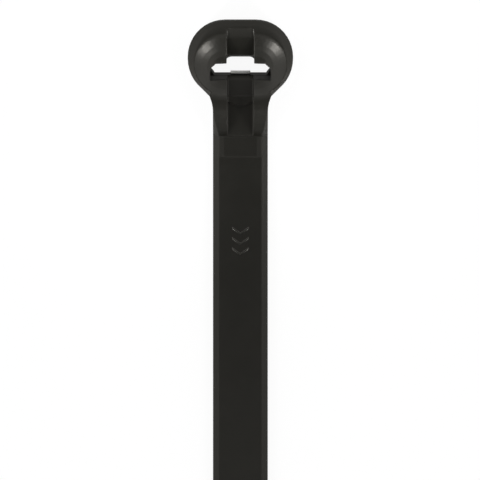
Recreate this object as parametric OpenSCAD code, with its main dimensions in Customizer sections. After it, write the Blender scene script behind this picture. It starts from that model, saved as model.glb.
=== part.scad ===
// Cable tie: a rounded head with a slanted slot, a neck that runs down to a flat strap, and a ribbed tail.
// X runs across the strap, +Y towards the head, +Z out of the front face. The back lies on z = 0.
// Heights in the head are measured along Y from its widest line, and are positive towards its top.

/* [Strap] */
// Overall length, from the top of the head to the tip of the tail
tie_len = 222; // [100:1:400]
// Width of the strap
strap_w = 6.9; // [6:0.1:9]
// Thickness of the strap
strap_t = 1.6; // [1.3:0.05:1.8]
// Width of the slanted face along each front edge
bevel_w = 0.75; // [0.3:0.05:1]
// Height of the slanted face along each front edge
bevel_h = 0.55; // [0.3:0.05:0.6]
// Size of the bevel along each back edge
back_bevel = 0.3; // [0.1:0.05:0.4]

/* [Head] */
// Radius of the head's two rounded sides
head_r = 4.69; // [4.4:0.01:5.5]
// Length of the straight stretch between the rounded sides
head_flat = 3.86; // [3.5:0.02:5]
// Extra length of the head towards the strap
head_stretch = 0.24; // [0.1:0.02:0.4]
// Thickness of the head, from back to front
head_t = 4.3; // [4:0.1:5]
// Rounding of the head's outer edges
head_edge = 0.35; // [0.3:0.05:0.7]
// Distance from the head's outer side to where its crowned front starts to fall
crown_w = 2; // [1:0.05:2.4]
// Radius of the crown
crown_r = 4.5; // [3:0.1:8]

/* [Dish round the slot] */
// Drop of the dish's centre below the head's widest line
dish_drop = 1.27; // [1:0.01:1.6]
// Length of the straight stretch in the middle of the dish
dish_flat = 4.3; // [3.8:0.1:4.8]
// Radius of the rim's crest at each end of the dish
dish_r = 4.4; // [3.8:0.05:4.5]
// Depth of the dish below the front face
dish_depth = 1.4; // [0.9:0.05:1.5]
// Rounding from the crest into the dish
rim_round = 1.6; // [1:0.1:2]

/* [Slot] */
// Room between the strap's faces and the slot's walls, both sides together
slot_gap = 0.15; // [0.05:0.01:0.3]
// Room between each edge of the strap and the end of the slot
slot_side_gap = 0.35; // [0.2:0.01:0.5]
// Slant of the slot away from square to the strap
slot_lean = 21; // [16:0.5:24]
// Drop of the slot's lower wall below the widest line, at the mouth in the back
slot_drop = 1.82; // [1.7:0.01:2.1]
// Depth of the flared mouth in the back
mouth_depth = 0.4; // [0.2:0.05:0.5]
// Spread of the flared mouth in the back
mouth_flare = 0.35; // [0.1:0.05:0.5]
// Width of the cut corner at each upper end of the slot
slot_corner_w = 0.7; // [0.3:0.05:0.9]
// Height of the cut corner at each upper end of the slot
slot_corner_h = 0.51; // [0.3:0.01:0.6]
// Width of the cut corner at each lower end of the slot
slot_foot_w = 0.5; // [0.2:0.05:0.6]
// Height of the cut corner at each lower end of the slot
slot_foot_h = 0.49; // [0.3:0.01:0.6]
// Size of the bevel along the slot's upper front edge
lip_bevel = 0.2; // [0.1:0.02:0.4]
// How far that bevel may run on past the cut corners
lip_past = 0.1; // [0.05:0.05:0.3]
// Height above the back where the slot's lower corners open out
foot_open = 1.6; // [1.2:0.05:2]
// Relief of the opened corners behind the slot's own walls
foot_relief = 0.03; // [0.02:0.01:0.08]

/* [Channel] */
// Width of the channel above the slot
chan_w = 3.45; // [2.9:0.05:3.8]
// Width of the channel below the slot and down the neck
neck_chan_w = 3.25; // [2.9:0.05:3.8]
// Height of the channel's upper end in the front face
chan_top = 2.8; // [2.3:0.05:2.9]
// Height of the top of the shallow scoop above the channel
scoop_top = 3.8; // [3.5:0.05:4]
// Radius of the scoop's curved upper end
scoop_r = 3.6; // [2:0.1:5]
// Depth of the scoop at its upper end
scoop_step = 0.1; // [0.03:0.01:0.12]
// Depth of the scoop where it meets the channel
scoop_depth = 0.3; // [0.15:0.01:0.4]
// Radius of the brow over which the scoop rolls into the channel
brow_r = 2.6; // [0.5:0.1:2.7]
// Height of the channel's upper end at the back of the slot
chan_back = 0.04; // [-0.1:0.01:0.2]
// Height above the back where the channel's wall turns steeper
chan_knee = 1.1; // [0.7:0.05:1.2]
// Slant of the steep part of the channel's wall
chan_steep = 14; // [5:1:20]
// Rounding of the channel's two corners at the back of the slot
chan_round = 0.65; // [0.3:0.05:0.9]
// How far the pocket behind the barb runs on past the head's round outline
pocket_past = 0.18; // [0.1:0.02:0.3]
// Height of the pocket's foot above the barb's leg
pocket_rise = 0.5; // [0.2:0.05:0.6]
// Height above that foot where the slot's lower wall meets the pocket
pocket_knee = 0.4; // [0.2:0.05:0.6]
// Depth of the pocket's upright end below the bridge
pocket_wall = 0.3; // [0.1:0.05:0.4]
// Height of the channel's floor in the neck above the face of the strap
chan_floor = 0.35; // [0.1:0.05:0.5]
// Height of the bridge over the barb above the channel's floor
bridge_rise = 0.45; // [0.2:0.05:0.7]
// Length of the bridge along the middle
bridge_len = 1.25; // [0.8:0.05:1.6]
// Radius of the bridge's curved lower edge
bridge_r = 2.6; // [2:0.1:6]

/* [Neck] */
// Width of the neck where it leaves the head
neck_w = 7.75; // [7.2:0.05:9.4]
// Drop of the neck's lower end below the widest line
neck_end = 9.95; // [9.2:0.02:12]
// Drop of the point where the neck is down to the width of the strap
flare_end = 7; // [6.4:0.05:8.2]
// Distance from there to the place where the strap's bevel runs out
bevel_stop = 0.2; // [0.1:0.05:0.5]
// Drop of the point where the neck's front face starts to fall
fall_start = 5.7; // [5.2:0.05:6.5]
// Step from the foot of the neck down to the strap
neck_step = 0.2; // [0.15:0.05:0.6]
// Length of the low pad below the neck
pad_len = 2.55; // [1:0.05:4]
// Width of the low pad below the neck
pad_w = 4.1; // [3:0.1:5]
// Height of the low pad
pad_rise = 0.1; // [0.05:0.01:0.2]

/* [Barb] */
// Width of the steel barb
barb_w = 2.5; // [2:0.1:2.8]
// Thickness of the steel
barb_t = 0.35; // [0.2:0.01:0.38]
// Length of the leg that is held in the neck
barb_leg = 3.4; // [2.4:0.1:4]
// Height of the leg's underside above the back
barb_seat = 0.55; // [0.45:0.01:0.6]
// Height of the tongue above the leg's underside
barb_tongue = 1.55; // [1.2:0.05:1.8]
// Lean of the tongue towards the strap
barb_lean = 10; // [2:0.5:15]
// Slant of the tongue's ground tip
barb_point = 35; // [10:1:45]
// Inner radius of the bend
barb_bend = 0.2; // [0.1:0.05:0.3]
// How far the tongue's face stands out of the lower wall at the leg's height
barb_proud = 0.18; // [0:0.01:0.25]
// Room between the steel and the moulding
barb_gap = 0.02; // [0.01:0.01:0.05]

/* [Marks] */
// Distance of the arrow mark's middle from the top of the head
mark_place = 28.2; // [20:0.1:60]
// Width of the arrow mark
mark_w = 2.1; // [1:0.1:3.5]
// Slant of the mark's strokes away from square to the strap
mark_slant = 35; // [20:1:50]
// Width of the mark's strokes
mark_stroke = 0.28; // [0.2:0.01:0.4]
// Height of the marks above the face
mark_rise = 0.08; // [0.04:0.01:0.15]
// Number of chevrons in the arrow mark
mark_count = 3; // [1:1:5]
// Distance from one chevron to the next
mark_pitch = 1.3; // [0.8:0.1:2]

/* [Tail] */
// Length of the tapered stretch
taper_len = 13; // [8:0.5:20]
// Width of the rounded tip
tip_w = 3.2; // [2:0.1:4.5]
// Thickness at the tip
tip_t = 0.9; // [0.6:0.05:1.2]
// Number of grip grooves
grip_count = 18; // [4:1:30]
// Distance from one grip groove to the next
grip_pitch = 1.2; // [0.9:0.05:2]
// Distance of the first grip groove from the tip
grip_start = 5; // [4:0.5:10]
// Radius of a grip groove
grip_r = 0.4; // [0.2:0.05:0.6]
// Depth of a grip groove
grip_depth = 0.2; // [0.05:0.01:0.3]

/* [Hidden] */
$fn = 96;

// Overshoot of a cut past the face that it opens
over = 1;
// Small shift by which two surfaces cross that would otherwise only touch
crossing = 0.01;
head_y = tie_len / 2 - head_r;
tail_y = -tie_len / 2;
strap_half = strap_w / 2;
head_half = head_flat / 2;
chan_half = chan_w / 2;
neck_chan_half = neck_chan_w / 2;

// The head's crown runs out into the rounding of its outer edge
crown_in = head_r - crown_w;
crown_run = crown_w - head_edge;
crown_edge_z = head_t - crown_r + sqrt(pow(crown_r - head_edge, 2) - pow(crown_run, 2)) + crossing;
crown_out = crown_in + crown_run * crown_r / (crown_r - head_edge);

// The dish is a hollow arc that runs into the rim's arc on the line between their centres
dish_reach = (dish_r * dish_r + dish_depth * dish_depth) / (2 * dish_depth);
dish_hollow = dish_reach - rim_round;
// Angle at which the rim leaves the front face, so that the two cross and don't merely touch
rim_crease = 4;
dish_floor = head_t - dish_depth;
dish_centre = dish_floor + dish_hollow;
rim_centre = head_t - rim_round * cos(rim_crease);

// The slot as seen square to its own slanted axis
slot_w = strap_w + 2 * slot_side_gap;
slot_h = strap_t + slot_gap;
slot_half = slot_w / 2;
slot_rise = slot_h / cos(slot_lean);
slot_foot_y = -slot_drop;

// Places along the slot's walls, as functions of the height above the back
function lower_wall(z) = slot_foot_y - (z - mouth_depth) * tan(slot_lean);
function upper_wall(z) = lower_wall(z) + slot_rise;

// Channel and barb
chan_floor_z = strap_t + chan_floor;
bridge_z = chan_floor_z + bridge_rise;
pocket_end = -(head_r + pocket_past);
pocket_foot = barb_seat + barb_t + pocket_rise;
bridge_tip = pocket_end - bridge_len;
// Number of steps in the brow's arc
brow_steps = 8;
barb_face = lower_wall(barb_seat + barb_t) + barb_proud;

// The neck's front falls along an arc that starts level
fall_run = neck_end - fall_start;
fall_drop = head_t - strap_t - neck_step;
fall_r = (fall_run * fall_run + fall_drop * fall_drop) / (2 * fall_drop);
fall_z = head_t - fall_r + crossing;

// Each bevel on the neck is a cone about a line across it. The line is moved off the axis of the fall so
// that the bevel is as wide as the strap's own at the foot and runs out where the neck starts to widen.
foot_angle = asin(fall_run / fall_r);
run_out_angle = asin((flare_end + bevel_stop - fall_start) / fall_r);
cone_turn = (foot_angle + run_out_angle) / 2;
cone_shift = bevel_h / 2 / sin((foot_angle - run_out_angle) / 2);
cone_y = -fall_start + cone_shift * cos(cone_turn);
cone_z = fall_z + cone_shift * sin(cone_turn);
cone_edge = norm([
    -fall_start - fall_r * sin(run_out_angle) - cone_y,
    fall_z + fall_r * cos(run_out_angle) - cone_z
]);
cone_foot = norm([-neck_end - cone_y, head_t - fall_drop - cone_z]);
cone_slope = (cone_foot - cone_edge) / bevel_w;

// The shoulders leave the round sides at forty-five degrees. They start a touch inside them, and the flare
// and the shoulders' edges are moved as much, so that all of these cross.
shoulder_in = 0.02;
shoulder_x = head_half + (head_r - shoulder_in) * cos(45);
shoulder_y = -head_stretch - (head_r - shoulder_in) * sin(45);
shoulder_run = shoulder_x - neck_w / 2;
neck_top = shoulder_y - shoulder_run;
flare_in = (neck_w - strap_w) / 2 + shoulder_in;
flare_run = neck_top + flare_end;
flare_r = (flare_in * flare_in + flare_run * flare_run) / (2 * flare_in);

// A profile of radius and height, carried round both ends of a straight stretch
module swept_round(straight) {
    for (side = [-1, 1])
        translate([side * straight / 2, 0, 0]) rotate_extrude() children();
    along_x(straight) {
        children();
        mirror([1, 0]) children();
    }
}

// A profile of place along Y and height, drawn out across the strap
module along_x(width) {
    translate([-width / 2, 0, 0])
        rotate([90, 0, 90])
            linear_extrude(width) children();
}

module head_profile() {
    square([crown_in, head_t]);
    intersection() {
        translate([crown_in, head_t - crown_r]) circle(crown_r);
        square([crown_out, head_t]);
    }
    translate([head_r - head_edge, crown_edge_z]) circle(head_edge);
    translate([0, head_edge]) square([head_r, crown_edge_z - head_edge]);
    translate([head_r - head_edge, head_edge]) circle(head_edge);
    square([head_r - head_edge, head_t / 2]);
}

// The head: a rounded half at each end of a short straight stretch
module head_shape() {
    reach = head_half + head_r + over;
    for (end = [0, 1])
        translate([0, -head_stretch * end, 0])
            mirror([0, end, 0])
                intersection() {
                    swept_round(head_flat) head_profile();
                    translate([-reach, 0, -over]) cube([2 * reach, reach, head_t + 2 * over]);
                }
    rotate([90, 0, 0])
        linear_extrude(head_stretch) {
            translate([head_half, 0]) head_profile();
            translate([-head_half, 0]) mirror([1, 0]) head_profile();
            translate([-head_half, 0]) square([head_flat, head_t]);
        }
}

module dish_profile() {
    difference() {
        union() {
            intersection() {
                translate([0, dish_centre]) circle(dish_hollow);
                square([dish_r, dish_centre]);
            }
            polygon([[0, dish_centre], [dish_r, rim_centre], [dish_r, dish_centre]]);
        }
        translate([dish_r, rim_centre]) circle(rim_round);
    }
}

// Outline of shoulders and neck, seen from the front
module neck_outline() {
    polygon([
        [-shoulder_x, shoulder_y], [shoulder_x, shoulder_y],
        [neck_w / 2, neck_top], [-neck_w / 2, neck_top]
    ]);
    difference() {
        translate([-neck_w / 2, -flare_end]) square([neck_w, flare_run]);
        for (side = [-1, 1])
            translate([side * (strap_half + flare_r), -flare_end]) circle(flare_r);
    }
    translate([-strap_half, -neck_end]) square([strap_w, neck_end - flare_end]);
}

// Side view of the neck: level out of the head, then down along an arc
module neck_side() {
    translate([-fall_start, 0]) square([fall_start + shoulder_y, head_t]);
    intersection() {
        translate([-fall_start, fall_z]) circle(fall_r);
        translate([-neck_end, 0]) square([fall_run, head_t]);
    }
}

// The strap's front bevels run out as they climb the neck
module bevel_run_out() {
    difference() {
        translate([-neck_w, -neck_end - over, 0])
            cube([2 * neck_w, neck_end + over - flare_end + 2 * cone_shift, 2 * head_t]);
        translate([0, cone_y, cone_z])
            rotate([0, 90, 0])
                rotate_extrude()
                    polygon([
                        [0, -neck_w], [cone_edge - (neck_w - strap_half) * cone_slope, -neck_w],
                        [cone_edge + strap_half * cone_slope, 0],
                        [cone_edge - (neck_w - strap_half) * cone_slope, neck_w], [0, neck_w]
                    ]);
    }
}

// Gives each shoulder the crown and the rounded edges of the head's own sides
module shoulder_edges() {
    for (side = [0, 1])
        mirror([side, 0, 0])
            translate([neck_w / 2 + shoulder_in, neck_top + shoulder_in, 0])
                rotate([0, 0, 45])
                    rotate([90, 0, 90])
                        linear_extrude(shoulder_run * sqrt(2) + head_edge / 2)
                            difference() {
                                translate([-over, -over]) square([over + crown_w, head_t + 2 * over]);
                                translate([head_r, 0]) mirror([1, 0]) head_profile();
                            }
}

module neck() {
    difference() {
        intersection() {
            linear_extrude(head_t) neck_outline();
            along_x(2 * shoulder_x) neck_side();
        }
        bevel_run_out();
        shoulder_edges();
    }
}

// The slot with the strap's own bevelled section
module slot_cut() {
    translate([0, slot_foot_y, mouth_depth])
        rotate([slot_lean, 0, 0])
            translate([0, 0, -head_t])
                linear_extrude(3 * head_t)
                    polygon([
                        [-slot_half + slot_foot_w, 0], [slot_half - slot_foot_w, 0],
                        [slot_half, slot_foot_h], [slot_half, slot_h - slot_corner_h],
                        [slot_half - slot_corner_w, slot_h], [-slot_half + slot_corner_w, slot_h],
                        [-slot_half, slot_h - slot_corner_h], [-slot_half, slot_foot_h]
                    ]);
}

// Flared mouth in the back, where the tail goes in
module mouth_cut() {
    along_x(slot_w - 2 * slot_foot_w)
        polygon([
            [lower_wall(mouth_depth) - mouth_flare, 0],
            [lower_wall(mouth_depth), mouth_depth],
            [upper_wall(mouth_depth), mouth_depth],
            [upper_wall(mouth_depth) + mouth_flare, 0],
            [upper_wall(mouth_depth) + mouth_flare, -over],
            [lower_wall(mouth_depth) - mouth_flare, -over]
        ]);
}

// Front end of the slot: a bevel that runs out at both ends above it, and square lower corners below it
module lip_cut() {
    lip_half = slot_half - slot_corner_w;
    lip_r = (lip_half * lip_half + lip_bevel * lip_bevel) / (2 * lip_bevel);
    intersection() {
        translate([0, upper_wall(dish_floor), dish_floor])
            rotate([-45, 0, 0])
                translate([0, lip_bevel - lip_r, -lip_bevel])
                    cylinder(r = lip_r, h = 5 * lip_bevel);
        translate([-lip_half - lip_past, -head_r, 0])
            cube([2 * (lip_half + lip_past), 2 * head_r, head_t + over]);
    }
    translate([0, -foot_relief, 0])
        along_x(slot_w + foot_relief)
            polygon([
                [lower_wall(foot_open), foot_open], [lower_wall(head_t), head_t],
                [lower_wall(head_t) + slot_rise / 2, head_t],
                [lower_wall(foot_open) + slot_rise / 2, foot_open - slot_rise / 2]
            ]);
}

// Channel above the slot: a shallow scoop that rolls over into a slanted wall, and a steeper gap at the back
module upper_channel() {
    knee_y = chan_back + chan_knee * tan(chan_steep);
    brow_z = head_t - scoop_depth;
    scoop_tilt = atan((scoop_depth - scoop_step) / (scoop_top - chan_top));
    wall_tilt = atan((brow_z - chan_knee) / (chan_top - knee_y));
    brow_run = brow_r * tan((wall_tilt - scoop_tilt) / 2);
    brow_y = chan_top + brow_run * cos(scoop_tilt) + brow_r * sin(scoop_tilt);
    brow_in = brow_z + brow_run * sin(scoop_tilt) - brow_r * cos(scoop_tilt);
    brow = [
        for (i = [0 : brow_steps])
            let (tilt = scoop_tilt + (wall_tilt - scoop_tilt) * i / brow_steps)
            [brow_y - brow_r * sin(tilt), brow_in + brow_r * cos(tilt)]
    ];
    far_y = scoop_top + over;
    intersection() {
        along_x(chan_w)
            polygon(concat(
                [[far_y, head_t + over], [far_y, head_t - scoop_step + over * tan(scoop_tilt)]],
                brow,
                [[knee_y, chan_knee], [upper_wall(head_t), chan_knee], [upper_wall(head_t), head_t + over]]
            ));
        translate([0, scoop_top - scoop_r, 0]) cylinder(r = scoop_r, h = head_t + 2 * over);
    }
    translate([0, chan_back, 0])
        rotate([-chan_steep, 0, 0])
            translate([0, 0, -over])
                linear_extrude(chan_knee / cos(chan_steep) + over + 2 * crossing) {
                    translate([-chan_half, -slot_rise / 2]) square([chan_w, slot_rise / 2 - chan_round]);
                    translate([-chan_half + chan_round, -chan_round - over])
                        square([chan_w - 2 * chan_round, chan_round + over]);
                    for (side = [-1, 1])
                        translate([side * (chan_half - chan_round), -chan_round]) circle(chan_round);
                }
}

// Pocket behind the barb, into which it springs as a strap passes, and the channel down the neck
module lower_channel() {
    knee_y = lower_wall(dish_floor);
    knee_z = pocket_foot + pocket_knee;
    along_x(neck_chan_w)
        polygon([
            [pocket_end, head_t + over], [pocket_end, bridge_z - pocket_wall],
            [knee_y, knee_z], [lower_wall(pocket_foot), pocket_foot],
            [lower_wall(pocket_foot) + slot_rise / 2, pocket_foot],
            [lower_wall(head_t) + slot_rise / 2, head_t + over]
        ]);
    difference() {
        translate([-neck_chan_half, -neck_end - over, chan_floor_z])
            cube([neck_chan_w, neck_end + over + pocket_end + pocket_past / 2, head_t]);
        translate([0, bridge_tip + bridge_r, 0]) cylinder(r = bridge_r, h = bridge_z);
    }
}

// Barb outline in side view, grown by the given room on every side
module barb_side(room) {
    leg_top = barb_seat + barb_t;
    bend_out = barb_bend + barb_t;
    bend_y = barb_face - bend_out;
    bend_z = barb_seat + bend_out;
    translate([bend_y - barb_leg - room, barb_seat - room])
        square([barb_leg + room, barb_t + 2 * room]);
    intersection() {
        translate([bend_y, bend_z]) difference() {
            circle(bend_out + room);
            circle(barb_bend - room);
        }
        translate([bend_y, bend_z])
            polygon([
                [0, 0], [0, -2 * bend_out], [2 * bend_out, -2 * bend_out],
                [2 * bend_out * cos(barb_lean), -2 * bend_out * sin(barb_lean)]
            ]);
    }
    tip = (barb_tongue - bend_out) / cos(barb_lean);
    translate([bend_y, bend_z])
        rotate(-barb_lean)
            translate([barb_bend - room, 0])
                polygon([
                    [0, 0], [barb_t + 2 * room, 0], [barb_t + 2 * room, tip + room],
                    [0, tip + room - (barb_t + 2 * room) * tan(barb_point)]
                ]);
}

module head() {
    difference() {
        union() {
            head_shape();
            neck();
        }
        translate([0, -dish_drop, 0]) swept_round(dish_flat) dish_profile();
        slot_cut();
        mouth_cut();
        lip_cut();
        upper_channel();
        lower_channel();
        along_x(barb_w + 2 * barb_gap) barb_side(barb_gap);
    }
}

module strap_section() {
    polygon([
        [-strap_half, back_bevel], [-strap_half + back_bevel, 0],
        [strap_half - back_bevel, 0], [strap_half, back_bevel],
        [strap_half, strap_t - bevel_h], [strap_half - bevel_w, strap_t],
        [-strap_half + bevel_w, strap_t], [-strap_half, strap_t - bevel_h]
    ]);
}

module tail_outline() {
    tip_r = tip_w / 2;
    translate([0, tail_y + tip_r]) circle(tip_r);
    polygon([
        [-tip_r, tail_y + tip_r], [tip_r, tail_y + tip_r],
        [strap_half, tail_y + taper_len], [strap_half, head_y], [-strap_half, head_y],
        [-strap_half, tail_y + taper_len]
    ]);
}

module tail_side() {
    polygon([
        [tail_y, 0], [head_y, 0], [head_y, strap_t],
        [tail_y + taper_len, strap_t], [tail_y, tip_t]
    ]);
}

module strap() {
    difference() {
        intersection() {
            translate([0, head_y - neck_end + over, 0])
                rotate([90, 0, 0])
                    linear_extrude(tie_len - head_r - neck_end + over) strap_section();
            linear_extrude(strap_t) tail_outline();
            along_x(strap_w) tail_side();
        }
        grip_grooves();
    }
}

// Grooves across the tail, each as deep below the face wherever the tail thins
module grip_grooves() {
    for (i = [0 : grip_count - 1]) {
        from_tip = grip_start + i * grip_pitch;
        face = min(strap_t, tip_t + (strap_t - tip_t) * from_tip / taper_len);
        translate([-strap_w, tail_y + from_tip, face + grip_r - grip_depth])
            rotate([0, 90, 0]) cylinder(r = grip_r, h = 2 * strap_w);
    }
}

// Low pad on the strap's face, with sides that slope gently to the edges of the flat
module pad() {
    foot_half = strap_half - bevel_w;
    translate([0, -neck_end + over, 0])
        rotate([90, 0, 0])
            linear_extrude(pad_len + over)
                polygon([
                    [-foot_half, strap_t / 2], [foot_half, strap_t / 2], [foot_half, strap_t],
                    [pad_w / 2, strap_t + pad_rise], [-pad_w / 2, strap_t + pad_rise],
                    [-foot_half, strap_t]
                ]);
}

// Arrow mark of plain chevrons that points to the tail
module arrow_mark() {
    reach = mark_w / 2 / cos(mark_slant);
    for (i = [0 : mark_count - 1], side = [-1, 1])
        translate([0, head_y + head_r - mark_place + (i - (mark_count - 1) / 2) * mark_pitch, strap_t / 2])
            rotate([0, 0, side > 0 ? mark_slant : 180 - mark_slant])
                translate([0, -mark_stroke / 2, 0])
                    cube([reach, mark_stroke, strap_t / 2 + mark_rise]);
}

module tie_body() {
    color([0.11, 0.11, 0.1]) {
        strap();
        arrow_mark();
        translate([0, head_y, 0]) {
            head();
            pad();
        }
    }
}

module locking_barb() {
    color([0.62, 0.62, 0.6])
        translate([0, head_y, 0])
            along_x(barb_w) barb_side(0);
}

tie_body();
locking_barb();
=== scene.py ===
"""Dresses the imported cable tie: the softened nylon moulding, the steel barb, the studio and the camera."""

import logging
import math
from dataclasses import dataclass
from enum import Enum
from typing import Any

import bmesh
import bpy
import numpy as np
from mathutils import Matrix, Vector


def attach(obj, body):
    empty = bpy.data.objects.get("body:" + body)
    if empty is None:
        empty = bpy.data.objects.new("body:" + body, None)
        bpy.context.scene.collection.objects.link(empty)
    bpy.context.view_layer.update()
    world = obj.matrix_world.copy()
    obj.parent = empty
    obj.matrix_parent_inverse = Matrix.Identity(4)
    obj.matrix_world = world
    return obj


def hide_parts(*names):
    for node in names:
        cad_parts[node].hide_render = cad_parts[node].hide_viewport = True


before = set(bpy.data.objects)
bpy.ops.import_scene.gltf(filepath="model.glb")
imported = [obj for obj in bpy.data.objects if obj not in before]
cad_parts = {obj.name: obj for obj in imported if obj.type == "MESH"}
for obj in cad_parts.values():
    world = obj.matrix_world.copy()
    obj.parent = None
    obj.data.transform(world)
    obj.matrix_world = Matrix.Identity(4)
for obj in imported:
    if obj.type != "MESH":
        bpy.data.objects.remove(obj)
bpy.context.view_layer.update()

MM = 0.001
WELD = 1e-6
LOG = logging.getLogger("cable_tie")
Mesh = bpy.types.Mesh
MeshObject = bpy.types.Object
Material = bpy.types.Material
Rgb = tuple[float, float, float]
WHITE: Rgb = (1.0, 1.0, 1.0)


class Slot(Enum):
    """The record's material slots."""

    NYLON = "black_nylon"
    STEEL = "barb_steel"


class Node(Enum):
    """The CAD nodes that the pieces stand for."""

    BODY = "tie_body"
    BARB = "locking_barb"


# Helpers for node trees and meshes


class Graph:
    """Places and links nodes in one tree."""

    def __init__(self, tree: bpy.types.NodeTree) -> None:
        """Keeps the tree and empties it.

        Args:
            tree: the node tree that the nodes go into.
        """
        self.tree = tree
        tree.nodes.clear()

    def add(self, kind: str, inputs: dict[Any, Any] | None = None, **settings: Any) -> bpy.types.Node:
        """Adds a node, sets its properties, and fills or links its inputs.

        Args:
            kind: Blender's name for the node's type.
            inputs: input name or number to a value, or to an output socket that is linked to it.
            settings: the node's own properties.

        Returns:
            The new node.
        """
        node = self.tree.nodes.new(kind)
        for name, value in settings.items():
            setattr(node, name, value)
        for key, value in (inputs or {}).items():
            if isinstance(value, bpy.types.NodeSocket):
                self.tree.links.new(value, node.inputs[key])
            else:
                node.inputs[key].default_value = value
        return node

    def math(self, operation: str, *values: Any) -> bpy.types.NodeSocket:
        """Adds a Math node.

        Args:
            operation: the node's operation.
            values: its inputs, as numbers or output sockets.

        Returns:
            The node's output socket.
        """
        return self.add("ShaderNodeMath", dict(enumerate(values)), operation=operation).outputs[0]

    def noise(self, coords: bpy.types.NodeSocket, scale: Any, detail: float) -> bpy.types.NodeSocket:
        """Adds a Noise texture.

        Args:
            coords: the coordinates that it reads.
            scale: how many features it has in a metre, as a number or a socket.
            detail: its number of octaves.

        Returns:
            The node's value socket.
        """
        found = {"Vector": coords, "Scale": scale, "Detail": detail}
        return self.add("ShaderNodeTexNoise", found).outputs["Fac"]

    def ramp(self, value: Any, low: float, high: float, first: float, last: float) -> bpy.types.NodeSocket:
        """Maps a value from one range to another, and holds it at the ends.

        Args:
            value: the value or socket to map.
            low: where the first result stands.
            high: where the last result stands.
            first: the result at low.
            last: the result at high.

        Returns:
            The mapped value's socket.
        """
        found = {0: value, 1: low, 2: high, 3: first, 4: last}
        return self.add("ShaderNodeMapRange", found, clamp=True).outputs[0]

    def blend(self, mask: Any, first: Any, last: Any) -> bpy.types.NodeSocket:
        """Mixes two colours.

        Args:
            mask: 0 for the first colour, 1 for the last.
            first: a colour or a socket.
            last: a colour or a socket.

        Returns:
            The mixed colour's socket.
        """
        node = self.add("ShaderNodeMix", {0: mask, 6: first, 7: last}, data_type="RGBA")
        return node.outputs[2]


def rgba(colour: Rgb) -> tuple[float, float, float, float]:
    """Gives a colour its alpha of one."""
    return (*colour, 1.0)


def new_object(name: str, mesh: Mesh) -> MeshObject:
    """Makes an object at the origin that shows a mesh.

    Args:
        name: the object's name.
        mesh: the mesh that it shows.

    Returns:
        The new object, linked to the scene.
    """
    made = bpy.data.objects.new(name, mesh)
    bpy.context.scene.collection.objects.link(made)
    return made


def evaluated_mesh(made: MeshObject) -> Mesh:
    """Makes a plain mesh of an object with all of its modifiers.

    Args:
        made: the object.

    Returns:
        A new mesh, free of the object.
    """
    graph = bpy.context.evaluated_depsgraph_get()
    graph.update()
    return bpy.data.meshes.new_from_object(made.evaluated_get(graph), depsgraph=graph)


def settle_modifiers(made: MeshObject) -> None:
    """Turns an object's modifiers into its own mesh and removes them.

    Args:
        made: the object.
    """
    result = evaluated_mesh(made)
    made.modifiers.clear()
    made.data = result


def set_inputs(modifier: bpy.types.Modifier, values: dict[str, Any]) -> None:
    """Sets a node modifier's inputs by their identifiers.

    Args:
        modifier: the modifier.
        values: input name to value.
    """
    for item in modifier.node_group.interface.items_tree:
        if item.item_type == "SOCKET" and item.in_out == "INPUT" and item.name in values:
            modifier[item.identifier] = values[item.name]


def finished(made: MeshObject) -> MeshObject:
    """Brings a piece from millimetres to metres and smooths its shading.

    Args:
        made: the piece, in millimetres.

    Returns:
        The same piece.
    """
    points = np.empty(len(made.data.vertices) * 3)
    made.data.vertices.foreach_get("co", points)
    made.data.vertices.foreach_set("co", points * MM)
    made.data.polygons.foreach_set("use_smooth", np.ones(len(made.data.polygons), dtype=bool))
    made.data.update()
    return made


def node_in_mm(node: Node) -> bmesh.types.BMesh:
    """Copies a CAD node's mesh, welds its loose triangles, and scales it to millimetres.

    Args:
        node: the CAD node.

    Returns:
        The welded copy. The caller frees it.
    """
    welded = bmesh.new()
    welded.from_mesh(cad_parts[node.value].data)
    bmesh.ops.remove_doubles(welded, verts=welded.verts, dist=WELD)
    bmesh.ops.scale(welded, vec=(1 / MM,) * 3, verts=welded.verts)
    return welded


def cut_below(shape: bmesh.types.BMesh, height: float) -> None:
    """Cuts a mesh at a height along Y and throws away what lies below.

    Args:
        shape: the mesh that is cut.
        height: where the cut stands.
    """
    everything = shape.verts[:] + shape.edges[:] + shape.faces[:]
    bmesh.ops.bisect_plane(
        shape, geom=everything, plane_co=(0, height, 0), plane_no=(0, 1, 0), dist=WELD, clear_inner=True
    )


def open_edges(shape: bmesh.types.BMesh) -> list[bmesh.types.BMEdge]:
    """Lists the edges that have a face on one side only."""
    return [e for e in shape.edges if e.is_boundary]


def relax(mesh: Mesh, passes: int, strength: float) -> None:
    """Rounds every edge of an evenly meshed shape by letting each point drift to its neighbours' middle.

    Args:
        mesh: the mesh, whose points are moved.
        passes: how often the points move.
        strength: the share of the way that they go each time.
    """
    count = len(mesh.vertices)
    points = np.empty(count * 3)
    mesh.vertices.foreach_get("co", points)
    points = points.reshape(-1, 3)
    ends = np.empty(len(mesh.edges) * 2, dtype=np.int64)
    mesh.edges.foreach_get("vertices", ends)
    a, b = ends.reshape(-1, 2).T
    degree = np.maximum(np.bincount(np.r_[a, b], minlength=count), 1)
    for _ in range(passes):
        middle = np.empty_like(points)
        for axis in range(3):
            heard = np.r_[points[b, axis], points[a, axis]]
            middle[:, axis] = np.bincount(np.r_[a, b], weights=heard, minlength=count) / degree
        points += strength * (middle - points)
    mesh.vertices.foreach_set("co", points.ravel())
    mesh.update()


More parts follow.
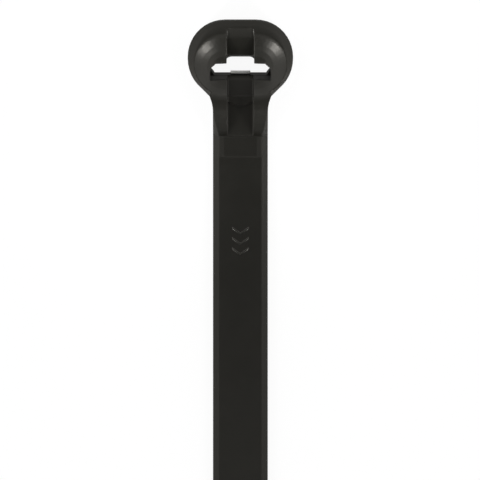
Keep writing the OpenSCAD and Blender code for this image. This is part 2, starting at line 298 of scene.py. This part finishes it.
def ordered_loop(edges: list[bmesh.types.BMEdge]) -> list[Vector]:
    """Walks round one closed loop of edges.

    Args:
        edges: the loop's edges, in any order.

    Returns:
        The points along the loop.
    """
    links: dict[Any, list[Any]] = {}
    for edge in edges:
        first, last = edge.verts
        links.setdefault(first, []).append(last)
        links.setdefault(last, []).append(first)
    start = edges[0].verts[0]
    walk, before, here = [start], None, start
    while True:
        onward = links[here][0] if links[here][0] is not before else links[here][1]
        if onward is start:
            return [v.co.copy() for v in walk]
        before, here = here, onward
        walk.append(here)


# Finishes


def mould_grain_group() -> bpy.types.NodeTree:
    """Builds the fine surface that moulding and rolling leave: a grain, and slow uneven patches.

    Returns:
        A group with the inputs Grain and Patch, in features to the metre, and Stretch, which closes up the
        grain along X, and with the outputs Height and Patches.
    """
    name = "fine_surface"
    if name in bpy.data.node_groups:
        return bpy.data.node_groups[name]
    tree = bpy.data.node_groups.new(name, "ShaderNodeTree")
    for label, value in (("Grain", 9000.0), ("Patch", 400.0), ("Stretch", 1.0)):
        tree.interface.new_socket(label, in_out="INPUT", socket_type="NodeSocketFloat").default_value = value
    for label in ("Height", "Patches"):
        tree.interface.new_socket(label, in_out="OUTPUT", socket_type="NodeSocketFloat")
    graph = Graph(tree)
    given = graph.add("NodeGroupInput")
    coords = graph.add("ShaderNodeTexCoord").outputs["Object"]
    scale = graph.add("ShaderNodeCombineXYZ", {0: given.outputs["Stretch"], 1: 1.0, 2: 1.0}).outputs[0]
    turned = graph.add("ShaderNodeVectorMath", {0: coords, 1: scale}, operation="MULTIPLY").outputs[0]
    octaves = 3.0
    grain = graph.noise(turned, given.outputs["Grain"], octaves)
    patches = graph.noise(coords, given.outputs["Patch"], octaves)
    graph.add("NodeGroupOutput", {"Height": grain, "Patches": patches})
    return tree


def fine_surface(graph: Graph, grain: float, patch: float, stretch: float) -> bpy.types.Node:
    """Places the fine surface group in a material.

    Args:
        graph: the material's graph.
        grain: grains in a metre.
        patch: patches in a metre.
        stretch: how much closer the grain stands along X.

    Returns:
        The group's node.
    """
    found = {"Grain": grain, "Patch": patch, "Stretch": stretch}
    node = graph.tree.nodes.new("ShaderNodeGroup")
    node.node_tree = mould_grain_group()
    for label, value in found.items():
        node.inputs[label].default_value = value
    return node


def new_material(name: str) -> tuple[Material, Graph]:
    """Makes an empty node material.

    Args:
        name: the material's name.

    Returns:
        The material and its graph.
    """
    made = bpy.data.materials.new(name)
    made.use_nodes = True
    return made, Graph(made.node_tree)


@dataclass(frozen=True)
class NylonFinish:
    """Black nylon as it comes out of the mould: satin, faintly uneven, and rubbed duller along its edges."""

    name: str = "moulded_nylon"
    dark: Rgb = (0.0059, 0.0057, 0.004)
    light: Rgb = (0.0067, 0.0065, 0.0046)
    rough_low: float = 0.365
    rough_high: float = 0.395
    sheen: Rgb = (1.0, 0.965, 0.9)
    rubbed: float = 0.66
    rub_start: float = 0.18
    rub_full: float = 0.34
    neck_y: float = 101.0 * MM
    ior: float = 1.53
    grain: float = 7000.0
    patch: float = 330.0
    stretch: float = 1.0
    shades: tuple[float, float] = (0.35, 0.65)
    uneven: tuple[float, float] = (0.3, 0.7)
    bump: float = 0.5
    bump_depth: float = 0.004 * MM

    def rubbed_mask(self, graph: Graph) -> bpy.types.NodeSocket:
        """Marks the faces that lean outwards, and below the head also those that lean into the channel.

        Args:
            graph: the material's graph.

        Returns:
            A socket that is 1 where the nylon is rubbed dull.
        """
        coords = graph.add("ShaderNodeTexCoord").outputs
        place = graph.add("ShaderNodeSeparateXYZ", {0: coords["Object"]}).outputs
        lean = graph.add("ShaderNodeSeparateXYZ", {0: coords["Normal"]}).outputs[0]
        outward = graph.math("MULTIPLY", lean, graph.math("SIGN", place[0]))
        below = graph.math("LESS_THAN", place[1], self.neck_y)
        either = graph.math("MULTIPLY", graph.math("ABSOLUTE", lean), below)
        return graph.ramp(graph.math("MAXIMUM", outward, either), self.rub_start, self.rub_full, 0.0, 1.0)

    def material(self) -> Material:
        """Builds the nylon.

        Returns:
            The finished material.
        """
        made, graph = new_material(self.name)
        surface = fine_surface(graph, self.grain, self.patch, self.stretch)
        patches = surface.outputs["Patches"]
        shade = graph.ramp(patches, *self.shades, 0.0, 1.0)
        colour = graph.blend(shade, rgba(self.dark), rgba(self.light))
        moulded = graph.ramp(patches, *self.uneven, self.rough_low, self.rough_high)
        rough = graph.ramp(self.rubbed_mask(graph), 0.0, 1.0, moulded, self.rubbed)
        bump = graph.add(
            "ShaderNodeBump",
            {"Strength": self.bump, "Distance": self.bump_depth, "Height": surface.outputs["Height"]},
        )
        shader = graph.add(
            "ShaderNodeBsdfPrincipled",
            {
                "Base Color": colour,
                "Roughness": rough,
                "IOR": self.ior,
                "Specular Tint": rgba(self.sheen),
                "Normal": bump.outputs[0],
            },
        )
        graph.add("ShaderNodeOutputMaterial", {"Surface": shader.outputs[0]})
        return made


# The mark's strokes come from a polished part of the mould, so they shine
POLISHED_NYLON = NylonFinish("polished_nylon", rough_low=0.22, rough_high=0.26, rubbed=0.24, ior=1.8)


@dataclass(frozen=True)
class SteelFinish:
    """Rolled stainless strip with fine lines along its width."""

    dark: Rgb = (0.6, 0.6, 0.58)
    light: Rgb = (0.78, 0.78, 0.75)
    rough_low: float = 0.3
    rough_high: float = 0.45
    grain: float = 26000.0
    patch: float = 2500.0
    stretch: float = 0.05
    uneven: tuple[float, float] = (0.3, 0.7)
    bump: float = 0.6
    bump_depth: float = 0.003 * MM

    def material(self) -> Material:
        """Builds the steel.

        Returns:
            The finished material.
        """
        made, graph = new_material("rolled_steel")
        surface = fine_surface(graph, self.grain, self.patch, self.stretch)
        lines = surface.outputs["Height"]
        shade = graph.ramp(lines, *self.uneven, 0.0, 1.0)
        colour = graph.blend(shade, rgba(self.dark), rgba(self.light))
        rough = graph.ramp(surface.outputs["Patches"], *self.uneven, self.rough_low, self.rough_high)
        bump = graph.add(
            "ShaderNodeBump", {"Strength": self.bump, "Distance": self.bump_depth, "Height": lines}
        )
        shader = graph.add(
            "ShaderNodeBsdfPrincipled",
            {"Base Color": colour, "Metallic": 1.0, "Roughness": rough, "Normal": bump.outputs[0]},
        )
        graph.add("ShaderNodeOutputMaterial", {"Surface": shader.outputs[0]})
        return made


# The moulding


@dataclass
class Head:
    """The head and neck, taken from the CAD solid and given the soft edges of a moulding. Millimetres."""

    join_y: float = 93.0
    spare: float = 1.0
    voxel: float = 0.05
    passes: int = 4
    strength: float = 0.5
    keep: float = 0.2

    def build(self) -> bmesh.types.BMesh:
        """Builds the head, open at the join.

        Returns:
            The mesh, in millimetres.
        """
        rough = node_in_mm(Node.BODY)
        cut_below(rough, self.join_y - self.spare)
        bmesh.ops.holes_fill(rough, edges=open_edges(rough), sides=0)
        mesh = bpy.data.meshes.new("head_rough")
        rough.to_mesh(mesh)
        rough.free()
        holder = new_object("head_rough", mesh)
        remesh = holder.modifiers.new("even", "REMESH")
        remesh.mode, remesh.voxel_size, remesh.adaptivity = "VOXEL", self.voxel, 0.0
        settle_modifiers(holder)
        relax(holder.data, self.passes, self.strength)
        fewer = holder.modifiers.new("fewer", "DECIMATE")
        fewer.ratio = self.keep
        settle_modifiers(holder)
        done = bmesh.new()
        done.from_mesh(holder.data)
        bpy.data.objects.remove(holder)
        cut_below(done, self.join_y)
        return done


@dataclass
class Strap:
    """The strap from the neck to the tip, drawn along the section in which the head ends. Millimetres."""

    tip_y: float = -111.0
    width: float = 6.9
    thickness: float = 1.6
    taper: float = 13.0
    tip_width: float = 3.2
    tip_thickness: float = 0.9
    edge: float = 0.18
    ribbed: float = 27.0
    fine_step: float = 0.09
    coarse_step: float = 4.0
    flatness: float = 0.004
    bridge: float = 0.4
    tip_rings: int = 26
    tip_turn: tuple[float, float] = (2.0, 88.0)

    def section(self, loop: list[Vector]) -> np.ndarray:
        """Thins out the head's open loop to the points that its shape needs.

        Args:
            loop: the points round the opening.

        Returns:
            The section's points, as rows of X and Z.
        """
        points = np.array([[p.x, p.z] for p in loop])
        far = int(np.argmax(points[:, 0]))
        points = np.roll(points, -far, axis=0)
        half = int(np.argmin(points[:, 0]))
        keep = self.thinned(points, 0, half) + self.thinned(points, half, len(points))
        return points[keep]

    def thinned(self, points: np.ndarray, first: int, last: int) -> list[int]:
        """Picks the points of one stretch that stand clear of the straight line between those kept.

        Args:
            points: the whole closed loop.
            first: where the stretch starts.
            last: where it ends. Its end belongs to the next stretch.

        Returns:
            The kept points' numbers.
        """
        start, end = points[first], points[last % len(points)]
        inner = points[first + 1 : last]
        if not len(inner):
            return [first]
        along = (end - start) / max(float(np.linalg.norm(end - start)), 1e-9)
        off = np.abs((inner - start) @ np.array([-along[1], along[0]]))
        worst = int(np.argmax(off))
        if off[worst] < self.flatness:
            return [first]
        middle = first + 1 + worst
        return self.thinned(points, first, middle) + self.thinned(points, middle, last)

    def stations(self, join_y: float) -> np.ndarray:
        """Lists where the rings stand, close together where the shape changes.

        Args:
            join_y: where the first ring meets the head.

        Returns:
            Heights along Y, from the join to the tip.
        """
        ribs = self.tip_y + self.ribbed
        radius = self.tip_width / 2
        plain = np.linspace(join_y, ribs, 2 + int((join_y - ribs) / self.coarse_step))
        fine = np.arange(ribs - self.fine_step, self.tip_y + radius, -self.fine_step)
        turn = np.radians(np.linspace(*self.tip_turn, self.tip_rings))
        tip = self.tip_y + radius * (1 - np.sin(turn))
        return np.concatenate([plain, fine, tip])

    def half_width(self, y: float) -> float:
        """Gives half of the strap's width at a height along Y.

        Args:
            y: the height.

        Returns:
            Half of the width there.
        """
        radius = self.tip_width / 2
        from_tip = y - self.tip_y
        if from_tip < radius:
            return math.sqrt(max(radius * radius - (radius - from_tip) ** 2, 0.0))
        share = min(max((from_tip - radius) / (self.taper - radius), 0.0), 1.0)
        return radius + (self.width / 2 - radius) * share

    def ring(self, section: np.ndarray, y: float, start: float) -> np.ndarray:
        """Places the section at a height along Y, narrowed and thinned as the tail is.

        Args:
            section: the section's points.
            y: the height.
            start: the height from which the section settles to the strap's true width.

        Returns:
            The ring's points.
        """
        from_tip = y - self.tip_y
        ring = np.empty((len(section), 3))
        reach = float(np.abs(section[:, 0]).max())
        settled = min((start - y) / self.coarse_step, 1.0)
        section_half = self.width / 2 + (reach - self.width / 2) * settled
        ring[:, 0] = section[:, 0] * self.half_width(y) / section_half
        ring[:, 1] = y
        slope = (self.thickness - self.tip_thickness) / self.taper
        face = min(self.thickness, self.tip_thickness + slope * from_tip)
        share = face / self.thickness
        inset = 0.0
        if from_tip < self.edge:
            inset = self.edge - math.sqrt(self.edge**2 - (self.edge - from_tip) ** 2)
        height = section[:, 1] * share
        ring[:, 2] = inset + height * (face - 2 * inset) / face
        return ring

    def extend(self, head: bmesh.types.BMesh, join_y: float) -> None:
        """Draws the strap out of the head's open end and closes it at the tip.

        Args:
            head: the open head. The strap is added to it.
            join_y: where the head ends.
        """
        border = open_edges(head)
        section = self.section(ordered_loop(border))
        before: list[bmesh.types.BMVert] = []
        for y in self.stations(join_y - self.bridge):
            ring = [head.verts.new(p) for p in self.ring(section, y, join_y)]
            for i, vert in enumerate(ring):
                if before:
                    j = (i + 1) % len(ring)
                    head.faces.new((before[i], before[j], ring[j], vert))
            if not before:
                rim = [head.edges.new((ring[i], ring[(i + 1) % len(ring)])) for i in range(len(ring))]
                bmesh.ops.bridge_loops(head, edges=border + rim)
            before = ring
        head.faces.new(before)
        bmesh.ops.recalc_face_normals(head, faces=head.faces)


@dataclass
class GripRibs:
    """The grooves across the tail, cut by a node tree wherever they repeat. Millimetres."""

    first: float = 5.0
    pitch: float = 1.2
    count: int = 18
    radius: float = 0.4
    depth: float = 0.2
    softness: float = 0.04

    def tree(self) -> bpy.types.GeometryNodeTree:
        """Builds the node tree that lowers the strap's face along each groove.

        Returns:
            The tree, with one named input for each size.
        """
        tree = bpy.data.node_groups.new("grip_ribs", "GeometryNodeTree")
        add = tree.interface.new_socket
        add("Geometry", in_out="INPUT", socket_type="NodeSocketGeometry")
        names = ("First", "Pitch", "Count", "Radius", "Depth", "Tip", "Thickness", "Tip thickness", "Taper")
        for label in names:
            add(label, in_out="INPUT", socket_type="NodeSocketFloat")
        add("Material", in_out="INPUT", socket_type="NodeSocketMaterial")
        add("Geometry", in_out="OUTPUT", socket_type="NodeSocketGeometry")
        graph = Graph(tree)
        given = graph.add("NodeGroupInput")
        size = {label: given.outputs[label] for label in names}
        place = graph.add("GeometryNodeInputPosition").outputs[0]
        axes = graph.add("ShaderNodeSeparateXYZ", {0: place}).outputs
        from_tip = graph.math("SUBTRACT", axes[1], size["Tip"])
        steps = graph.math("DIVIDE", graph.math("SUBTRACT", from_tip, size["First"]), size["Pitch"])
        last = graph.math("SUBTRACT", size["Count"], 1.0)
        number = graph.math("ROUND", graph.math("MINIMUM", graph.math("MAXIMUM", steps, 0.0), last))
        middle = graph.math("ADD", size["First"], graph.math("MULTIPLY", number, size["Pitch"]))
        off = graph.math("SUBTRACT", from_tip, middle)
        square = graph.math("MULTIPLY", size["Radius"], size["Radius"])
        rest = graph.math("MAXIMUM", graph.math("SUBTRACT", square, graph.math("MULTIPLY", off, off)), 0.0)
        thinning = graph.math("SUBTRACT", size["Thickness"], size["Tip thickness"])
        slope = graph.math("DIVIDE", thinning, size["Taper"])
        sloped = graph.math("ADD", size["Tip thickness"], graph.math("MULTIPLY", slope, middle))
        face = graph.math("MINIMUM", size["Thickness"], sloped)
        centre = graph.math("ADD", face, graph.math("SUBTRACT", size["Radius"], size["Depth"]))
        floor = graph.math("SUBTRACT", centre, graph.math("SQRT", rest))
        lowered = graph.math("SMOOTH_MIN", axes[2], floor, self.softness)
        moved = graph.add("ShaderNodeCombineXYZ", {0: axes[0], 1: axes[1], 2: lowered}).outputs[0]
        inside = graph.math("LESS_THAN", graph.math("ABSOLUTE", off), size["Radius"])
        upper = graph.math("GREATER_THAN", axes[2], graph.math("MULTIPLY", face, 0.5))
        chosen = graph.math("MULTIPLY", inside, upper)
        placed = graph.add(
            "GeometryNodeSetPosition",
            {"Geometry": given.outputs["Geometry"], "Selection": chosen, "Position": moved},
        )
        real = graph.add("GeometryNodeRealizeInstances", {0: placed.outputs[0]})
        dressed = graph.add(
            "GeometryNodeSetMaterial", {"Geometry": real.outputs[0], "Material": given.outputs["Material"]}
        )
        graph.add("NodeGroupOutput", {"Geometry": dressed.outputs[0]})
        return tree

    def cut(self, made: MeshObject, strap: Strap, nylon: Material) -> None:
        """Cuts the grooves into the strap's mesh, and leaves it a plain mesh.

        Args:
            made: the object with the strap, in millimetres.
            strap: the strap's sizes.
            nylon: the material that the tree sets.
        """
        tree = self.tree()
        modifier = made.modifiers.new("grip_ribs", "NODES")
        modifier.node_group = tree
        values = {
            "First": self.first,
            "Pitch": self.pitch,
            "Count": float(self.count),
            "Radius": self.radius,
            "Depth": self.depth,
            "Tip": strap.tip_y,
            "Thickness": strap.thickness,
            "Tip thickness": strap.tip_thickness,
            "Taper": strap.taper,
            "Material": nylon,
        }
        set_inputs(modifier, values)
        settle_modifiers(made)


@dataclass
class ArrowMark:
    """Raised chevrons that show which way the strap goes in. Their strokes are polished. Millimetres."""

    middle_y: float = 82.8
    width: float = 2.1
    stroke: float = 0.28
    slant: float = 35.0
    rise: float = 0.08
    sunk: float = 0.25
    edge: float = 0.11
    segments: int = 3
    count: int = 3
    pitch: float = 1.3

    def chevron(self, face: float) -> Mesh:
        """Builds one chevron with rounded upper edges.

        Args:
            face: the height of the strap's face.

        Returns:
            The chevron's mesh, with its point at the middle of the mark.
        """
        reach = self.width / 2
        drop = reach * math.tan(math.radians(self.slant))
        thick = self.stroke / 2 / math.cos(math.radians(self.slant))
        outline = [
            (0, -thick), (reach, drop - thick), (reach, drop + thick),
            (0, thick), (-reach, drop + thick), (-reach, drop - thick),
        ]
        shape = bmesh.new()
        base = [shape.verts.new((x, y, face - self.sunk)) for x, y in outline]
        top = [shape.verts.new((x, y, face + self.rise)) for x, y in outline]
        for i in range(len(outline)):
            j = (i + 1) % len(outline)
            shape.faces.new((base[i], base[j], top[j], top[i]))
        shape.faces.new((top[0], top[1], top[2], top[3]))
        shape.faces.new((top[0], top[3], top[4], top[5]))
        shape.faces.new((base[3], base[2], base[1], base[0]))
        shape.faces.new((base[5], base[4], base[3], base[0]))
        bmesh.ops.recalc_face_normals(shape, faces=shape.faces)
        rim = [
            e for e in shape.edges
            if all(v in top for v in e.verts) and set(e.verts) != {top[0], top[3]}
        ]
        bmesh.ops.bevel(
            shape, geom=rim, offset=self.edge, segments=self.segments, profile=0.5, affect="EDGES"
        )
        mesh = bpy.data.meshes.new("chevron")
        shape.to_mesh(mesh)
        shape.free()
        return mesh

    def tree(self) -> bpy.types.GeometryNodeTree:
        """Builds the node tree that sets the chevrons in a row.

        Returns:
            The tree, with inputs for the count, the start and the step.
        """
        tree = bpy.data.node_groups.new("arrow_row", "GeometryNodeTree")
        add = tree.interface.new_socket
        add("Geometry", in_out="INPUT", socket_type="NodeSocketGeometry")
        add("Count", in_out="INPUT", socket_type="NodeSocketInt")
        add("Start", in_out="INPUT", socket_type="NodeSocketVector")
        add("Step", in_out="INPUT", socket_type="NodeSocketVector")
        add("Material", in_out="INPUT", socket_type="NodeSocketMaterial")
        add("Geometry", in_out="OUTPUT", socket_type="NodeSocketGeometry")
        graph = Graph(tree)
        given = graph.add("NodeGroupInput").outputs
        row = graph.add(
            "GeometryNodeMeshLine",
            {"Count": given["Count"], "Start Location": given["Start"], "Offset": given["Step"]},
        )
        spread = graph.add(
            "GeometryNodeInstanceOnPoints", {"Points": row.outputs[0], "Instance": given["Geometry"]}
        )
        real = graph.add("GeometryNodeRealizeInstances", {0: spread.outputs[0]})
        dressed = graph.add(
            "GeometryNodeSetMaterial", {"Geometry": real.outputs[0], "Material": given["Material"]}
        )
        graph.add("NodeGroupOutput", {"Geometry": dressed.outputs[0]})
        return tree

    def build(self, face: float, nylon: Material) -> MeshObject:
        """Builds the row of chevrons.

        Args:
            face: the height of the strap's face.
            nylon: the material that the tree sets.

        Returns:
            The finished piece, in metres.
        """
        made = new_object("strap_arrows", self.chevron(face))
        modifier = made.modifiers.new("arrow_row", "NODES")
        modifier.node_group = self.tree()
        start = self.middle_y - self.pitch * (self.count - 1) / 2
        values = {
            "Count": self.count,
            "Start": (0.0, start, 0.0),
            "Step": (0.0, self.pitch, 0.0),
            "Material": nylon,
        }
        set_inputs(modifier, values)
        settle_modifiers(made)
        return finished(made)


@dataclass
class Moulding:
    """The one nylon piece: head, neck, strap and tail."""

    head: Head
    strap: Strap
    ribs: GripRibs

    def build(self, nylon: Material) -> MeshObject:
        """Builds the whole moulding.

        Args:
            nylon: its material.

        Returns:
            The finished piece, in metres.
        """
        shape = self.head.build()
        self.strap.extend(shape, self.head.join_y)
        mesh = bpy.data.meshes.new("tie_moulding")
        shape.to_mesh(mesh)
        shape.free()
        made = new_object("tie_moulding", mesh)
        self.ribs.cut(made, self.strap, nylon)
        return finished(made)


@dataclass
class Barb:
    """The bent steel strip, with the small rounding that its edges get when it is blanked.

    Sizes are in millimetres. Faces that meet at less than flat, in radians, become one. Edges that turn by
    more than corner, in degrees, are rounded.
    """

    edge: float = 0.03
    segments: int = 3
    flat: float = 0.01
    corner: float = 50.0

    def build(self, steel: Material) -> MeshObject:
        """Builds the barb from the CAD solid.

        Args:
            steel: its material.

        Returns:
            The finished piece, in metres.
        """
        shape = node_in_mm(Node.BARB)
        bmesh.ops.dissolve_limit(shape, angle_limit=self.flat, verts=shape.verts, edges=shape.edges)
        mesh = bpy.data.meshes.new("barb_strip")
        shape.to_mesh(mesh)
        shape.free()
        mesh.materials.append(steel)
        made = new_object("barb_strip", mesh)
        rounding = made.modifiers.new("edges", "BEVEL")
        rounding.width, rounding.segments = self.edge, self.segments
        rounding.limit_method, rounding.angle_limit = "ANGLE", math.radians(self.corner)
        rounding.harden_normals = True
        settle_modifiers(made)
        return finished(made)


# The studio


@dataclass
class SoftBox:
    """One square lamp, aimed at the head. Degrees, metres and watts."""

    name: str
    turn: float
    height: float
    away: float
    size: float
    power: float
    spread: float

    def build(self, aim: Vector) -> None:
        """Hangs the lamp.

        Args:
            aim: the point that it faces.
        """
        lamp = bpy.data.lights.new(self.name, "AREA")
        lamp.size, lamp.energy, lamp.spread = self.size, self.power, math.radians(self.spread)
        turn, height = math.radians(self.turn), math.radians(self.height)
        flat = math.cos(height)
        back = Vector((math.cos(turn) * flat, math.sin(turn) * flat, math.sin(height)))
        made = bpy.data.objects.new(self.name, lamp)
        made.location = aim + back * self.away
        made.rotation_euler = (-back).to_track_quat("-Z", "Y").to_euler()
        made.visible_camera = False
        bpy.context.scene.collection.objects.link(made)


@dataclass(frozen=True)
class Wall:
    """One lit side of the tent: the part of a direction at which it starts and is full, and its level."""

    start: float
    full: float
    level: float

    def shine(self, graph: Graph, part: bpy.types.NodeSocket) -> bpy.types.NodeSocket:
        """Gives the wall's level towards a direction.

        Args:
            graph: the world's graph.
            part: the direction's part along the axis that the wall stands on.

        Returns:
            The level's socket.
        """
        return graph.ramp(part, self.start, self.full, 0.0, self.level)


@dataclass
class Studio:
    """A pale floor, a light tent that is dark overhead, and three small soft boxes close to the tie.

    Three of the tent's ends stand beyond the head, each closer to the horizon than the one before, and the
    last beyond the tail. side_foot says between which heights the sides dim, and to what share at the floor.
    """

    aim: tuple[float, float, float] = (0.0, 0.105, 0.003)
    floor_size: float = 6.0
    floor_drop: float = 0.03 * MM
    floor_colour: Rgb = (0.8, 0.8, 0.8)
    floor_rough: float = 0.9
    seen_colour: Rgb = (0.12, 0.12, 0.12)
    floor_glow: float = 0.91
    mirrored: float = 0.12
    overhead: float = 0.105
    sides: Wall = Wall(0.25, 0.65, 1.05)
    side_foot: tuple[float, float, float] = (0.1, 0.6, 0.35)
    ends: tuple[Wall, ...] = (
        Wall(0.1, 0.45, 0.28),
        Wall(0.6, 1.0, 0.5),
        Wall(0.93, 1.0, 0.9),
        Wall(-0.3, -0.8, 0.14),
    )
    boxes: tuple[SoftBox, ...] = (
        SoftBox("soft_box_left", -135.0, 27.0, 0.12, 0.02, 0.0008, 16.0),
        SoftBox("soft_box_right", -45.0, 27.0, 0.12, 0.02, 0.0008, 16.0),
        SoftBox("soft_box_strap", -90.0, 60.0, 0.135, 0.03, 0.0023, 180.0),
    )

    def seen_mask(self, graph: Graph) -> bpy.types.NodeSocket:
        """Marks the rays that see the floor's own white: the camera's, those through glass, and reflections.

        Args:
            graph: the graph that the nodes go into.

        Returns:
            A socket that is 1 for camera rays and rays through glass, and less for reflected ones.
        """
        path = graph.add("ShaderNodeLightPath").outputs
        seen = graph.math("MAXIMUM", path["Is Camera Ray"], path["Is Transmission Ray"])
        return graph.math("MAXIMUM", seen, graph.math("MULTIPLY", path["Is Glossy Ray"], self.mirrored))

    def build_world(self) -> None:
        """Lights the tent's walls, with the sides dimmer at their foot, and darkens its top."""
        world = bpy.data.worlds.new("light_tent")
        bpy.context.scene.world = world
        world.use_nodes = True
        graph = Graph(world.node_tree)
        up = graph.add("ShaderNodeTexCoord").outputs["Generated"]
        axes = graph.add("ShaderNodeSeparateXYZ", {0: up}).outputs
        across = graph.math("ABSOLUTE", axes[0])
        foot = graph.ramp(axes[2], *self.side_foot, 1.0)
        level = graph.add("ShaderNodeValue").outputs[0]
        level.default_value = self.overhead
        level = graph.math("ADD", level, graph.math("MULTIPLY", self.sides.shine(graph, across), foot))
        for wall in self.ends:
            level = graph.math("ADD", level, wall.shine(graph, axes[1]))
        tent = graph.add("ShaderNodeBackground", {"Color": rgba(WHITE), "Strength": level})
        white = graph.add("ShaderNodeBackground", {"Color": rgba(WHITE), "Strength": 1.0})
        path = graph.add("ShaderNodeLightPath").outputs
        both = graph.add(
            "ShaderNodeMixShader", {0: path["Is Camera Ray"], 1: tent.outputs[0], 2: white.outputs[0]}
        )
        graph.add("ShaderNodeOutputWorld", {"Surface": both.outputs[0]})

    def build_floor(self) -> None:
        """Lays the floor. What the camera sees of it is white, with the tie's soft shadow on it."""
        half = self.floor_size / 2
        shape = bmesh.new()
        corners = ((-half, -half), (half, -half), (half, half), (-half, half))
        shape.faces.new([shape.verts.new((x, y, -self.floor_drop)) for x, y in corners])
        mesh = bpy.data.meshes.new("floor")
        shape.to_mesh(mesh)
        shape.free()
        paint, graph = new_material("pale_floor")
        glow = graph.math("MULTIPLY", self.seen_mask(graph), self.floor_glow)
        camera = graph.add("ShaderNodeLightPath").outputs["Is Camera Ray"]
        shader = graph.add(
            "ShaderNodeBsdfPrincipled",
            {
                "Base Color": graph.blend(camera, rgba(self.floor_colour), rgba(self.seen_colour)),
                "Roughness": self.floor_rough,
                "Emission Color": rgba(WHITE),
                "Emission Strength": glow,
            },
        )
        graph.add("ShaderNodeOutputMaterial", {"Surface": shader.outputs[0]})
        mesh.materials.append(paint)
        new_object("floor", mesh)

    def build(self) -> None:
        """Builds the floor, the tent and the lamps."""
        self.build_world()
        self.build_floor()
        for box in self.boxes:
            box.build(Vector(self.aim))
        bpy.context.scene.view_settings.view_transform = "Standard"


@dataclass
class PhotoCamera:
    """Looks straight down on the head's end of the tie, as the photograph does."""

    middle_x: float = -0.05 * MM
    middle_y: float = 83.3 * MM
    face_z: float = 1.6 * MM
    pixels: float = 480.0
    pixels_per_mm: float = 7.94
    lens: float = 400.0
    sensor: float = 36.0

    def build(self) -> None:
        """Places the camera and makes it the scene's own."""
        data = bpy.data.cameras.new("photo_camera")
        data.lens, data.sensor_width = self.lens, self.sensor
        made = bpy.data.objects.new("photo_camera", data)
        seen = self.pixels / self.pixels_per_mm * MM
        made.location = (self.middle_x, self.middle_y, self.face_z + seen * self.lens / self.sensor)
        bpy.context.scene.collection.objects.link(made)
        bpy.context.scene.camera = made


def hand_over(made: MeshObject, node: Node | None) -> None:
    """Lets a finished piece ride with the tie and reports it.

    Args:
        made: the piece.
        node: the CAD node that it stands for, if any.
    """
    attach(made, "root")
    if node is not None:
        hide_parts(node.value)
    LOG.info("%s: %d points, %d faces", made.name, len(made.data.vertices), len(made.data.polygons))


def main() -> None:
    """Builds every piece in order, then the studio and the camera."""
    logging.basicConfig(level=logging.INFO, format="%(name)s: %(message)s")
    PhotoCamera().build()
    Studio().build()
    nylon = NylonFinish().material()
    strap = Strap()
    hand_over(Moulding(Head(), strap, GripRibs()).build(nylon), Node.BODY)
    hand_over(ArrowMark().build(strap.thickness, POLISHED_NYLON.material()), None)
    hand_over(Barb().build(SteelFinish().material()), Node.BARB)


if __name__ == "__main__":
    main()
